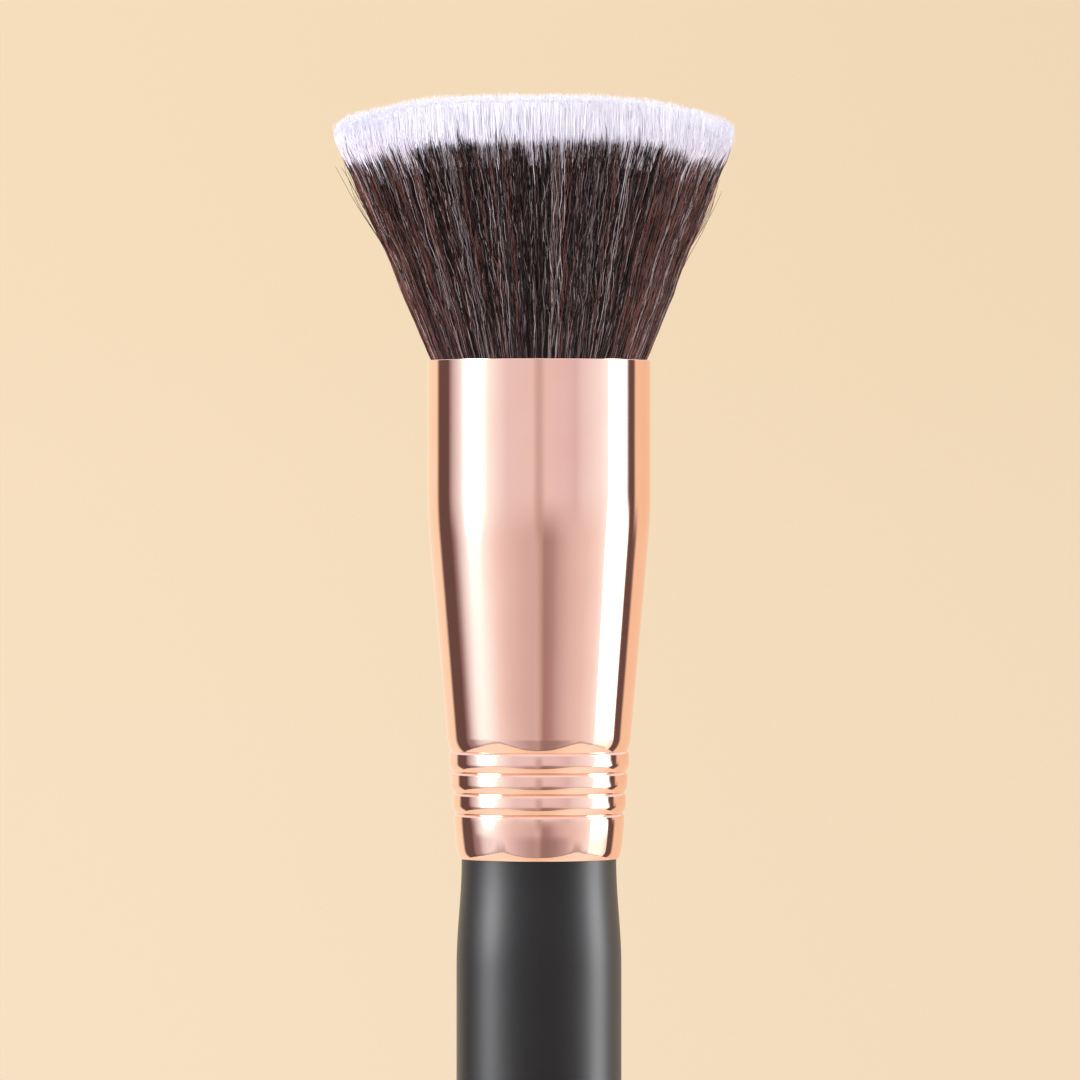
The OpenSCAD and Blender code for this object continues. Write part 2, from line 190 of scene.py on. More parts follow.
def packed_filament_ends():
    """The same filament, seen end-on where the head is packed and trimmed: a close pile of
    points with small gaps painted grey as shade. A point is 0.3 mm wide, several filaments
    across, as one alone is too fine to show."""
    made, tree, surface, coords = material("packed_white_filament_ends")
    upright = add(tree, "ShaderNodeMapping", {"Vector": coords, "Scale": (3300.0, 3300.0, 150.0)})
    point = add(tree, "ShaderNodeTexVoronoi", {"Vector": upright, "Scale": 1.0})
    clump = add(tree, "ShaderNodeTexNoise", {"Vector": coords, "Scale": 650.0, "Detail": 2.0})
    # Painted shade: the gaps between the points are painted greyer
    tone = add(tree, "ShaderNodeMath", {0: clump, 1: -0.45, 2: point}, operation="MULTIPLY_ADD")
    tint = add(tree, "ShaderNodeValToRGB", {"Fac": tone},
               [(0.05, linear("#F4F3FB")), (0.5, linear("#D6D3E2"))])
    relief = add(tree, "ShaderNodeBump", {"Height": point, "Strength": 0.8, "Distance": 0.2 * MM},
                 invert=True)
    feed(tree, surface, {"Base Color": tint, "Roughness": 0.7, "Normal": relief})
    return made


def turned_birch():
    """Bare turned birch: pale, with fine grain along the handle, 1 mm wide."""
    made, tree, surface, coords = material("turned_birch")
    stretched = add(tree, "ShaderNodeMapping", {"Vector": coords, "Scale": (900.0, 900.0, 45.0)})
    grain = add(tree, "ShaderNodeTexNoise", {"Vector": stretched, "Scale": 1.0, "Detail": 4.0})
    tint = add(tree, "ShaderNodeValToRGB", {"Fac": grain},
               [(0.3, linear("#C79F6E")), (0.7, linear("#E3C394"))])
    feed(tree, surface, {"Base Color": tint, "Roughness": 0.6})
    return made


def cured_resin(name, dark, pale, rough):
    """Cast or smeared resin that has cured: slightly cloudy."""
    made, tree, surface, coords = material(name)
    cloud = add(tree, "ShaderNodeTexNoise", {"Vector": coords, "Scale": 350.0, "Detail": 3.0})
    tint = add(tree, "ShaderNodeValToRGB", {"Fac": cloud},
               [(0.3, linear(dark)), (0.7, linear(pale))])
    feed(tree, surface, {"Base Color": tint, "Roughness": rough})
    return made


def cotton_thread():
    """Waxed cotton thread: cream, with its twist as a fine slanting stripe."""
    made, tree, surface, coords = material("waxed_cotton_thread")
    twist = add(tree, "ShaderNodeTexWave", {"Vector": coords, "Scale": 900.0, "Distortion": 1.0},
                bands_direction="DIAGONAL")
    tint = add(tree, "ShaderNodeValToRGB", {"Fac": twist.outputs["Fac"]},
               [(0.3, linear("#CFC4A8")), (0.7, linear("#EFE8D4"))])
    feed(tree, surface, {"Base Color": tint, "Roughness": 0.7})
    return made


ROSE = polished_rose_aluminium()
LACQUER = matt_black_lacquer()
# The grey-brown and pale finishes are partly the filaments' own tone and partly painted glints of
# lit filaments
DARK = [
    dyed_filament("black_brown_filament", "#0B0708", "#140D0E", 0.4),
    dyed_filament("brown_filament", "#221819", "#2E2223", 0.36),
    dyed_filament("red_brown_filament", "#54332F", "#6F4842", 0.4),
    dyed_filament("grey_brown_painted_glint_filament", "#5E5258", "#72666B", 0.34),
    dyed_filament("pale_painted_glint_filament", "#9A8F93", "#B3A9AC", 0.4),
]
WHITE = plain_filament()
WHITE_ENDS = packed_filament_ends()

for node_name, finish in {
    "handle": turned_birch(),
    "tenon_glue": cured_resin("cured_wood_glue", "#CDBE8C", "#DDD0A4", 0.45),
    "epoxy_plug": cured_resin("cast_epoxy", "#C99F55", "#DDB873", 0.2),
    "root_bundle": cured_resin("resin_bound_roots", "#2C201D", "#46332C", 0.4),
    "binding_thread": cotton_thread(),
}.items():
    node_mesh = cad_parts[node_name].data
    node_mesh.materials.clear()
    node_mesh.materials.append(finish)


# ---------------------------------------------------------------- lathe
MERGE = 1e-7
CREASE = math.radians(30)


def lathe(name, profile, finish, steps):
    """Spins a closed or axis-to-axis profile of (radius, height) pairs round Z."""
    bm = bmesh.new()
    points = [bm.verts.new((r * MM, 0, z * MM)) for r, z in profile]
    pairs = list(zip(points, points[1:]))
    if profile[0][0] > 0:
        pairs.append((points[-1], points[0]))
    edges = [bm.edges.new(pair) for pair in pairs]
    bmesh.ops.spin(bm, geom=points + edges, cent=(0, 0, 0), axis=(0, 0, 1),
                   angle=math.tau, steps=steps, use_merge=True)
    bmesh.ops.remove_doubles(bm, verts=bm.verts, dist=MERGE)
    bmesh.ops.recalc_face_normals(bm, faces=bm.faces)
    for face in bm.faces:
        face.smooth = True
    for edge in bm.edges:
        if len(edge.link_faces) == 2 and edge.calc_face_angle() > CREASE:
            edge.smooth = False
    mesh = bpy.data.meshes.new(name)
    bm.to_mesh(mesh)
    bm.free()
    mesh.materials.append(finish)
    piece = bpy.data.objects.new(name, mesh)
    bpy.context.scene.collection.objects.link(piece)
    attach(piece, "root")
    return piece


def shares(steps):
    """Even shares from none to all."""
    return [u / steps for u in range(steps + 1)]


# Ferrule: the same sizes as its solid, with finer curves
WALL = 0.3
MOUTH_R = 10.75
NECK_R = 7.45
LIP_GAP = 0.05
LIP_EDGE = 0.1
LIP_BORE_R = NECK_R + LIP_GAP
SKIRT_LEN = 4.35
SKIRT_RISE = 4.05
SHOULDER_LEN = SKIRT_LEN - SKIRT_RISE
SKIRT_TAPER = 0.42
CURL_LEN = 1.2
CURL_STEP = 0.2
SKIRT_R = LIP_BORE_R + LIP_EDGE + SKIRT_TAPER + CURL_STEP
BEADS = 3
BEAD_PITCH = 2.0
BEAD_STEP = 0.155
RELIEF = 0.2
FLANK_LEN = 0.85
BODY_FLANK_LEN = 1.4
BARREL_LEN = 12.5
BLEND_LEN = 5.0
MEET_Z = MOUTH_Z - BARREL_LEN - BLEND_LEN / 2
RIM = 0.08
# How sharply the skirt, its curl and the body's flank turn: 1 is straight
SKIRT_TURN, CURL_TURN, FLANK_TURN = 1.6, 4, 2.5


def crest_r(bead):
    """Outer radius of a bead. The skirt counts as none, and the body follows the last."""
    return SKIRT_R + bead * BEAD_STEP


def crease_z(bead):
    """Height of the crease above a bead."""
    return LIP_Z + SKIRT_LEN + bead * BEAD_PITCH


def skirt_side():
    """The skirt from its curled lip up to its full width."""
    side = []
    for share in shares(36)[:-1]:
        rise = SKIRT_RISE * share ** 2
        taper = SKIRT_TAPER * (1 - share ** 2) ** SKIRT_TURN
        curl = CURL_STEP * max(0.0, 1 - rise / CURL_LEN) ** CURL_TURN
        side.append((SKIRT_R - taper - curl, LIP_Z + rise))
    return side


def beads_side():
    """The short shoulder below each crease and the long flank of the bead above it."""
    side = []
    for bead in range(BEADS + 1):
        for share in shares(8)[:-1]:
            fall = RELIEF * (1 - math.cos(math.pi / 2 * share))
            side.append((crest_r(bead) - fall, crease_z(bead) - SHOULDER_LEN * (1 - share)))
        if bead < BEADS:
            low = crest_r(bead) - RELIEF
            for share in shares(16):
                swell = (crest_r(bead + 1) - low) * math.sin(math.pi / 2 * share)
                side.append((low + swell, crease_z(bead) + FLANK_LEN * share))
    return side


def body_side():
    """The body's flank, the straight cone and the blend into the barrel."""
    side = []
    body_r = crest_r(BEADS + 1)
    body_z = crease_z(BEADS) + BODY_FLANK_LEN
    slope = (MOUTH_R - body_r) / (MEET_Z - body_z)
    # The flank runs out along the cone, which keeps its straight line
    rest = body_r - (crest_r(BEADS) - RELIEF) - slope * BODY_FLANK_LEN
    for share in shares(20):
        cone_r = body_r - slope * BODY_FLANK_LEN * (1 - share)
        side.append((cone_r - rest * (1 - share) ** FLANK_TURN,
                     crease_z(BEADS) + BODY_FLANK_LEN * share))
    for rise in (0.1, 0.3, 1.0, MEET_Z - BLEND_LEN / 2 - body_z - 0.3):
        side.append((body_r + slope * rise, body_z + rise))
    for share in shares(24):
        side.append((MOUTH_R - slope * BLEND_LEN / 2 * (1 - share) ** 2,
                     MEET_Z + BLEND_LEN / 2 * (2 * share - 1)))
    return side


side = skirt_side() + beads_side() + body_side()
outer = side + [(MOUTH_R, MOUTH_Z - below) for below in (0.3, RIM + 0.03, RIM)]
rim = [(MOUTH_R - RIM * (1 - math.cos(math.pi / 2 * share)),
        MOUTH_Z - RIM * (1 - math.sin(math.pi / 2 * share))) for share in shares(4)[1:]]
inner = [(max(r - WALL, LIP_BORE_R), z) for r, z in side[::3]]
inner += [(MOUTH_R - WALL, MOUTH_Z - RIM), (MOUTH_R - WALL + RIM, MOUTH_Z)]
ferrule = lathe("ferrule_polished", outer + rim + inner[::-1], ROSE, 192)
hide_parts("ferrule")

# Handle: the lacquer's outer and inner side
GRIP_R = 7.95
TAIL_R = 4.8
TAPER_LEN = 65.0
COAT_T = 0.08
COAT_ENTRY = 0.4
TAIL_ANGLE = math.atan((GRIP_R - TAIL_R) * math.pi / 2 / TAPER_LEN)
BALL_R = TAIL_R / math.cos(TAIL_ANGLE)
BALL_Z = -GRIP_LEN / 2 - TAPER_LEN + BALL_R * math.sin(TAIL_ANGLE)


def handle_side(inset, steps):
    """The swell below the ferrule, the grip, the long taper and the round tail."""
    side = []
    for share in shares(steps):
        swell = (GRIP_R - NECK_R) * (1 - math.cos(math.pi * share)) / 2
        side.append((NECK_R + swell - inset, LIP_Z - SWELL_LEN * share))
    for share in shares(steps)[:-1]:
        narrowing = (GRIP_R - TAIL_R) * (1 - math.cos(math.pi / 2 * share))
        side.append((GRIP_R - narrowing - inset, -GRIP_LEN / 2 - TAPER_LEN * share))
    for share in shares(steps):
        a = TAIL_ANGLE + (math.pi / 2 - TAIL_ANGLE) * share
        side.append(((BALL_R - inset) * math.cos(a), BALL_Z - (BALL_R - inset) * math.sin(a)))
    side[-1] = (0, side[-1][1])
    return side


coat_end = [(NECK_R - COAT_T, LIP_Z + COAT_ENTRY), (NECK_R, LIP_Z + COAT_ENTRY)]
lacquer = lathe("handle_lacquer_dipped",
                handle_side(COAT_T, 12)[::-1] + coat_end + handle_side(0, 24), LACQUER, 128)
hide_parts("handle_lacquer")


# ---------------------------------------------------------------- filaments
# Outer radius of the fan by lift
FAN = [(-2, 10.3), (0, 10.35), (0.5, 10.6), (1.6, 11.05), (3.1, 11.65), (4.5, 12.25), (6, 12.9),
       (7.4, 13.4), (8.9, 13.95), (10.3, 14.5), (11.8, 15.2), (13.2, 15.85), (14.7, 16.5),
       (16.1, 17.05), (17.5, 17.6), (19, 18.35), (20, 18.85), (21, 18.95), (22.2, 18.9),
       (30, 18.85)]
# The trimmed top: its height in the middle, how far it drops in a low dome, in a shoulder
# and, past its share of the radius, in a rounded rim, and how much of that in front
HEAD_LIFT = 24.8
DOME_DROP, SHOULDER_DROP, RIM_SHARE, RIM_DROP = 0.85, 0.95, 0.95, 180
FRONT_PART = 0.23
# The dark tips' mean height in front and behind, and how much lower it is at the sides
DARK_LIFT, DARK_SIDE_DROP = 20.1, 1.35
# How far the head leans to its left at a lift of LEAN_LIFT
LEAN, LEAN_LIFT = 0.42, 22
# The fan's radius near its tips, by which locks are spaced, and across the trimmed top
LOCK_R, GATHER_R = 18.5, 18


def fan_r(lift):
    """Outer radius of the fan at a height above the mouth."""
    for (low, r0), (high, r1) in zip(FAN, FAN[1:]):
        if lift <= high:
            return r0 + (r1 - r0) * (lift - low) / (high - low)
    return FAN[-1][1]


def sideways(angle):
    """One at the fan's two sides, none in front and behind."""
    return math.cos(angle) ** 2


def head_lift(share, angle):
    """Height of the trimmed top at a share of the fan's radius."""
    drop = DOME_DROP * share ** 2 + SHOULDER_DROP * share ** 5
    drop += max(0.0, share - RIM_SHARE) ** 2 * RIM_DROP
    rest = min(1.0, 1.6 * sideways(angle) ** 2)
    return HEAD_LIFT - drop * (FRONT_PART + (1 - FRONT_PART) * rest)


def dark_lift(angle):
    """Mean height of the dark filaments' tips."""
    return DARK_LIFT - DARK_SIDE_DROP * min(1.0, 2 * sideways(angle) ** 2)


def leaning(lift):
    """How far the head leans to its left at a height above the mouth."""
    return LEAN * max(0.0, lift / LEAN_LIFT) ** 1.3


def place(share, angle, lift, sway=0.0, out=0.0):
    """A point of the fan: sway is a shift round it and out a shift away from its axis."""
    r = share * fan_r(lift) + out
    a = angle + sway / max(r, 4.0)
    return r * math.cos(a) - leaning(lift), r * math.sin(a), MOUTH_Z + lift


class Locks:
    """The loose locks that filaments gather into towards their tips."""

    def __init__(self, source, spacing):
        self.spacing = spacing / LOCK_R
        self.rows = []
        share = 1.0
        while share > 0:
            count = max(3, round(math.tau * share / self.spacing))
            self.rows.append([((k + source.uniform(-0.35, 0.35)) / count * math.tau,
                               source.gauss(0, 1), source.gauss(0, 1)) for k in range(count)])
            share -= self.spacing

    def near(self, share, angle):
        """The turn to the nearest lock's middle, and that lock's own height and lean."""
        row = self.rows[min(len(self.rows) - 1, round((1 - share) / self.spacing))]
        centre, height, lean = row[round(angle % math.tau / math.tau * len(row)) % len(row)]
        return (centre - angle + math.pi) % math.tau - math.pi, height, lean


def three_sided():
    """The section that every filament is drawn with, one millimetre in radius."""
    curve = bpy.data.curves.new("section", "CURVE")
    spline = curve.splines.new("POLY")
    spline.points.add(2)
    for turn, point in enumerate(spline.points):
        a = math.tau * turn / 3
        point.co = (MM * math.cos(a), MM * math.sin(a), 0, 1)
    spline.use_cyclic_u = True
    section = bpy.data.objects.new("section", curve)
    bpy.context.scene.collection.objects.link(section)
    return section


def tubes(name, strands, finishes, node_name):
    """One piece of many thin tubes. A strand is a finish's number and its points, each a
    place with a radius."""
    curve = bpy.data.curves.new(name, "CURVE")
    curve.dimensions = "3D"
    curve.bevel_mode = "OBJECT"
    curve.bevel_object = SECTION
    curve.use_fill_caps = True
    for finish in finishes:
        curve.materials.append(finish)
    for number, points in strands:
        spline = curve.splines.new("POLY")
        spline.points.add(len(points) - 1)
        spline.points.foreach_set("co", [v for (x, y, z), r in points
                                         for v in (x * MM, y * MM, z * MM, 1)])
        spline.points.foreach_set("radius", [r for at, r in points])
        spline.material_index = number
    holder = bpy.data.objects.new(name, curve)
    bpy.context.scene.collection.objects.link(holder)
    shaped = holder.evaluated_get(bpy.context.evaluated_depsgraph_get())
    mesh = bpy.data.meshes.new_from_object(shaped)
    bpy.data.objects.remove(holder)
    bpy.data.curves.remove(curve)
    mesh.name = name
    piece = bpy.data.objects.new(name, mesh)
    bpy.context.scene.collection.objects.link(piece)
    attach(piece, "root")
    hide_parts(node_name)
    return piece


# Dark filaments: radius by finish, start below the mouth, length of the pointed end and of
# its thin tip, and how many are much longer than the rest, up to a most
DARK_RADII = (0.048, 0.044, 0.038, 0.031, 0.026)
ROOT_DEPTH, POINT_LEN, TIP_LEN = 0.6, 1.9, 0.8
LONG_PART, LONG_MOST = 0.18, 2.6


def dark_strands(source, count, share_low, share_high, locks, steps, mix):
    """Dark filaments from inside the mouth up to their pointed tips, crimped and crossing.
    The mix is each finish's weight in front. At the sides more are red-brown, and fewer
    black-brown: painted light, for light shining through the fan's edges."""
    made = []
    for k in range(count):
        angle = source.uniform(0, math.tau)
        share = source.uniform(share_low, share_high)
        turn, height, lean = locks.near(share, angle)
        edge = sideways(angle)
        # Painted light: the sides get more red-brown and less black-brown
        weights = (mix[0] * (1 - 0.55 * edge), mix[1], mix[2] * (1 + 6 * edge), mix[3], mix[4])
        kind = source.choices(range(5), weights)[0]
        top = dark_lift(angle) + 0.14 * height + source.gauss(0, 0.3)
        if source.random() < LONG_PART:
            top += min(LONG_MOST, source.expovariate(1.6))
        lean = source.gauss(0, 0.6) + 0.3 * lean
        gather = turn * fan_r(top) * 0.42
        crimp, bend = source.uniform(0.03, 0.12), source.uniform(0.05, 0.22)
        crimp_len, bend_len = source.uniform(2.2, 4.2), source.uniform(6, 13)
        crimp_turn, bend_turn = source.uniform(0, math.tau), source.uniform(0, math.tau)
        thick = DARK_RADII[kind] * source.uniform(0.85, 1.15)
        whole = top + ROOT_DEPTH
        rises = [share_up * (1 - POINT_LEN / whole) for share_up in shares(steps)]
        widths = [1.0] * (steps + 1) + [0.85, 0.12]
        points = []
        for rise, width in zip(rises + [1 - TIP_LEN / whole, 1.0], widths):
            lift = whole * rise - ROOT_DEPTH
            grown = min(1.0, rise * 4)
            sway = (crimp * math.sin(crimp_turn + math.tau * lift / crimp_len)
                    + bend * math.sin(bend_turn + math.tau * lift / bend_len))
            out = 0.5 * crimp * math.cos(crimp_turn + 5 * lift / crimp_len)
            shift = gather * rise ** 2 + lean * rise + sway * grown
            points.append((place(share, angle, lift, shift, out * grown), thick * width))
        made.append((kind, points))
    return made


def white_rim_strands(source, count, share_low, share_high, locks):
    """White filaments round the rim, which rise from behind the dark tips. Every fifth is
    loose: thinner, and splayed further."""
    made = []
    for k in range(count):
        angle = source.uniform(0, math.tau)
        share = source.uniform(share_low, share_high)
        turn, height, lean = locks.near(share, angle)
        loose = k % 5 == 0
        splay = source.gauss(0.004, 0.02) if loose else source.gauss(0.0, 0.005)
        end = min(1.03, share + 0.016 + splay)
        top = head_lift(min(1.0, end), angle) + 0.05 * height
        top += min(0.4, source.gauss(-0.05, 0.26))
        base = dark_lift(angle) - source.uniform(0.9, 2.4)
        lean = source.gauss(0, 0.2) + 0.08 * lean
        gather = turn * fan_r(top) * 0.12
        thick = source.uniform(0.018, 0.028) if loose else source.uniform(0.032, 0.044)
        points = []
        for rise, width in ((0, 1), (0.45, 1), (0.78, 0.9), (1, 0.1)):
            lift = base + (top - base) * rise
            at = share + (end - share) * max(0.0, (rise - 0.3) / 0.7)
            points.append((place(at, angle, lift, gather * rise ** 2 + lean * rise), thick * width))
        made.append((0, points))
    return made


def white_top_strands(source, count, share_high, locks):
    """White filaments of the trimmed top, of which only the ends are made."""
    made = []
    for k in range(count):
        angle = source.uniform(0, math.tau)
        share = share_high * math.sqrt(source.random())
        turn, height, lean = locks.near(share, angle)
        top = head_lift(share, angle) + 0.11 * height + min(0.35, source.gauss(0, 0.24))
        gather = turn * share * GATHER_R * 0.32
        lean = source.gauss(0, 0.2)
        thick = source.uniform(0.03, 0.048)
        points = [(place(share, angle, top - length, (gather + lean) * (1 - length / 5)),
                   thick * width) for length, width in ((4.2, 1), (1.4, 0.9), (0, 0.1))]
        made.append((0, points))
    return made


def stray_strands(source, count):
    """Dark filaments that stand off the fan's sides in loose curves."""
    made = []
    for k in range(count):
        angle = (0 if k % 2 else math.pi) + source.gauss(0, 0.35)
        start = source.uniform(5, 13)
        top = dark_lift(angle) + source.uniform(-3.5, 0.6)
        bow = source.uniform(0.3, 1.8 - 0.6 * (k % 2)) * (1 if k % 3 else 0.5)
        curl = source.uniform(-0.6, 0.35) * bow
        sway = source.gauss(0, 0.8)
        phase = source.uniform(0, math.tau)
        points = []
        for rise in shares(12):
            out = bow * math.sin(rise * math.pi / 2) ** 1.6 + curl * rise ** 4
            out += 0.05 * math.sin(phase + 7 * rise) * rise
            points.append((place(0.985, angle, start + (top - start) * rise, sway * rise ** 2, out),
                           0.04 * (1 - 0.55 * rise)))
        made.append((1 + k % 2, points))
    return made


def white_over_strands(source, count):
    """White filaments that slipped out between the dark ones."""
    made = []
    for k in range(count):
        angle = source.uniform(0, math.tau)
        low = dark_lift(angle) - source.choice((0.8, 1.3, 1.3, 2, 2, 3, 4.5, 9))
        top = head_lift(1.0, angle) - source.uniform(0.3, 1.6)
        lean = source.gauss(0, 0.4)
        crimp = source.uniform(0, 0.1)
        phase = source.uniform(0, math.tau)
        thick = source.uniform(0.018, 0.03)
        points = [(place(0.996, angle, low + (top - low) * rise,
                         lean * rise + crimp * math.sin(phase + 4 * rise)),
                   thick * min(1.0, 0.3 + 1.8 * rise)) for rise in shares(6)]
        made.append((0, points))
    return made


SECTION = three_sided()
hair = random.Random(7)
dark_locks = Locks(hair, 0.95)
white_locks = Locks(hair, 1.5)

# Each layer's shares of the fan's radius, and the mix of its finishes. The outer layers take
# more of the grey and pale finishes, whose painted glints belong to the lit outside
for layer, low, high in (("outer_a", 0.985, 1.0), ("outer_b", 0.985, 1.0),
                         ("second_a", 0.965, 0.99), ("second_b", 0.965, 0.99)):
    strands = dark_strands(hair, 1150, low, high, dark_locks, 25, (9.5, 4.5, 2, 4, 2.4))
    tubes("dark_filaments_" + layer, strands, DARK, "dark_filaments")
for layer, low, high in (("third", 0.94, 0.97), ("inner", 0.91, 0.95)):
    strands = dark_strands(hair, 2100, low, high, dark_locks, 12, (9, 5, 1.5, 1, 0.2))
    tubes("dark_filaments_" + layer, strands, DARK, "dark_filaments")
tubes("dark_filaments_stray", stray_strands(hair, 46), DARK, "dark_filaments")
for layer, low, high in (("rim", 0.98, 0.989), ("ring", 0.972, 0.984)):
    strands = white_rim_strands(hair, 4000, low, high, white_locks)
    tubes("white_filaments_" + layer, strands, [WHITE], "white_filaments")
tubes("white_filaments_over", white_over_strands(hair, 50), [WHITE],
      "white_filaments")
for half in ("left", "right"):
    strands = white_top_strands(hair, 11000, 0.992, white_locks)
    tubes("white_filaments_top_" + half, strands, [WHITE], "white_filaments")

bpy.data.objects.remove(SECTION)

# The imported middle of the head, which the loose filaments hide: the dark part's radius in
# the mouth and its top, the white part's side by lift and share of the fan's radius, and its
# top by share and depth under the trimmed ends
DARK_CORE_R, DARK_CORE_TOP = 10.3, 16.8
WHITE_CORE_SIDE = [(16.9, 0.92), (18, 0.92), (19, 0.95), (19.6, 0.968), (20.5, 0.978),
                   (21.4, 0.987)]
WHITE_CORE_TOP = [(0.994, 0.5), (0.982, 0.42), (0.965, 0.4), (0.94, 0.35), (0.9, 0.35),
                  (0.82, 0.35), (0.7, 0.35), (0.5, 0.35), (0.25, 0.35)]
HEAD_R = fan_r(22)

dark_core = lathe("dark_filaments_core",
                  [(0, MOUTH_Z - 1.4), (DARK_CORE_R, MOUTH_Z - 1.4), (DARK_CORE_R, MOUTH_Z - 0.2)]
                  + [(fan_r(lift) * 0.92, MOUTH_Z + lift) for lift in (0.6, 4, 8, 12, 15, 16.5)]
                  + [(0, MOUTH_Z + DARK_CORE_TOP)], DARK[0], 96)
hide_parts("dark_filaments")
white_core = lathe("white_filaments_core",
                   [(0, MOUTH_Z + 16.9)]
                   + [(fan_r(lift) * share, MOUTH_Z + lift) for lift, share in WHITE_CORE_SIDE]
                   + [(HEAD_R * share, MOUTH_Z + head_lift(share, 0) - depth)
                      for share, depth in WHITE_CORE_TOP]
                   + [(0, MOUTH_Z + HEAD_LIFT - 0.35)], WHITE_ENDS, 96)
for vertex in white_core.data.vertices:
    # It stands higher in front and behind, and leans, as the trimmed top does
    share = math.hypot(vertex.co.x, vertex.co.y) / MM / HEAD_R
    angle = math.atan2(vertex.co.y, vertex.co.x)
    grown = min(1.0, max(0.0, (vertex.co.z / MM - MOUTH_Z - 20.5) / 1.2))
    vertex.co.z += (head_lift(share, angle) - head_lift(share, 0)) * grown * MM
    vertex.co.x -= leaning(vertex.co.z / MM - MOUTH_Z) * MM
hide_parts("white_filaments")


# ---------------------------------------------------------------- studio
# Sockets of a Mix node that blends colours
FACTOR, FROM, TO = 0, 6, 7

# What shows in reflections, as the colours of light by azimuth: degrees that turn from the
# camera's side to the right
PAPER, PAPER_GLOW, PAPER_EDGE = (1.03, 0.88, 0.68), (1.07, 0.92, 0.72), (1.05, 0.9, 0.7)
WARM_PAPER, RIGHT_PAPER = (1.0, 0.76, 0.55), (0.95, 0.68, 0.47)
FLAG, BOX, BOX_END = (0.15, 0.095, 0.09), (14, 14, 14.3), (1.3, 1.3, 1.3)
SKIRTS, RIGHT_SKIRT = (1.1, 1.16, 1.12), (1.5, 1.6, 1.6)
CEILING, LEFT_TOP, RIGHT_TOP = (1.05, 1.0, 1.02), (42, 42, 42.6), (29, 29, 29.5)

# Level with the ferrule: paper behind, dark flags, a soft box on each side, the room in front
LEVEL = [(-180, PAPER), (-138, PAPER_GLOW), (-132, PAPER_EDGE), (-126, FLAG), (-108, FLAG),
         (-101, (0.6, 0.53, 0.6)), (-89, (1.0, 1.14, 1.27)), (-84, (1.8, 1.8, 1.9)), (-78, BOX),
         (-70, BOX), (-62, (2.0, 2.0, 2.0)), (-54, (1.28, 1.33, 1.38)), (-46, (1.04, 1.08, 1.17)),
         (-32, (0.87, 0.82, 0.9)), (10, (0.86, 0.77, 0.8)), (26, (0.83, 0.74, 0.81)),
         (38, (0.77, 0.69, 0.76)), (47, (0.9, 0.86, 0.94)), (66, (1.04, 1.1, 1.2)),
         (77, (1.4, 1.4, 1.5)), (85, BOX), (97, BOX), (103, (1.1, 1.3, 1.4)), (107, FLAG),
         (116, FLAG), (120, WARM_PAPER), (146, RIGHT_PAPER), (180, RIGHT_PAPER)]
# Lower down: the left box ends, and in front the dark studio shows beside a narrow gap
LOW = [(-180, PAPER), (-138, PAPER_GLOW), (-132, PAPER_EDGE), (-126, FLAG), (-106, FLAG),
       (-100, (0.36, 0.28, 0.3)), (-90, (0.9, 0.96, 1.06)), (-81, (1.15, 1.41, 1.52)),
       (-72, (1.15, 1.48, 1.57)), (-64, (1.1, 1.36, 1.44)), (-56, (1.04, 1.14, 1.22)),
       (-48, (0.98, 0.93, 0.96)), (-40, (0.88, 0.81, 0.83)), (-33, (0.82, 0.74, 0.76)),
       (-19, (0.74, 0.64, 0.66)), (-8, (0.69, 0.59, 0.61)), (-2, (0.76, 0.65, 0.66)),
       (2, (0.6, 0.48, 0.46)), (6, (0.4, 0.27, 0.27)), (15, (0.47, 0.34, 0.35)),
       (22, (0.6, 0.49, 0.51)), (29, (0.7, 0.59, 0.6)), (36, (0.78, 0.67, 0.69)),
       (51, (0.87, 0.78, 0.78)), (66, (1.01, 0.97, 0.99)), (75, (1.05, 1.26, 1.34)), (81, BOX),
       (99, BOX), (109, FLAG), (122, FLAG), (127, WARM_PAPER), (180, RIGHT_PAPER)]
# Lower still: the boxes' dim skirts, and the dark floor under the camera
LOWEST = [(-180, SKIRTS), (-112, SKIRTS), (-101, (0.3, 0.22, 0.24)), (-92, (0.45, 0.36, 0.4)),
          (-84, (0.8, 0.8, 0.9)), (-76, (0.95, 1.0, 1.1)), (-64, (1.05, 1.06, 1.2)),
          (-53, (1.05, 1.0, 1.12)), (-40, (0.82, 0.74, 0.8)), (-26, (0.64, 0.54, 0.6)),
          (-12, (0.5, 0.41, 0.42)), (-1, (0.53, 0.42, 0.41)), (4, (0.36, 0.26, 0.26)),
          (10, (0.33, 0.24, 0.24)), (23, (0.39, 0.3, 0.3)), (37, (0.57, 0.48, 0.5)),
          (51, (0.88, 0.8, 0.82)), (62, (1.1, 1.16, 1.2)), (76, RIGHT_SKIRT), (98, RIGHT_SKIRT),
          (106, SKIRTS), (180, SKIRTS)]
# Overhead: the pale ceiling, into which the two boxes reach
OVERHEAD = [(-180, CEILING), (-93, CEILING), (-83, LEFT_TOP), (-63, LEFT_TOP), (-54, BOX_END),
            (-44, CEILING), (64, CEILING), (73, BOX_END), (81, RIGHT_TOP), (97, RIGHT_TOP),
            (106, CEILING)]
# The table's edge, as degrees below the horizon by the angle to either side, least at its
# two corners, and the paper that lies on the table
TABLE_EDGE = [(0, 44), (12, 43), (25, 37), (40, 25), (48, 19.5), (55, 17), (70, 19), (85, 22),
              (98, 24), (112, 25)]
TABLE_PAPER = [(0, (0.99, 0.8, 0.61)), (25, (1.02, 0.85, 0.65)), (50, (1.05, 1.0, 0.86)),
               (75, (1.06, 1.08, 0.97)), (98, (1.06, 1.03, 0.9)), (122, (1.05, 0.86, 0.66)),
               (180, (1.05, 0.86, 0.66))]
# The steepest edge that its ramp can hold
EDGE_MOST = 60


def by_azimuth(stops):
    """A full turn's stops in degrees as places on a colour ramp."""
    return [((degrees + 180) / 360, colour) for degrees, colour in stops]


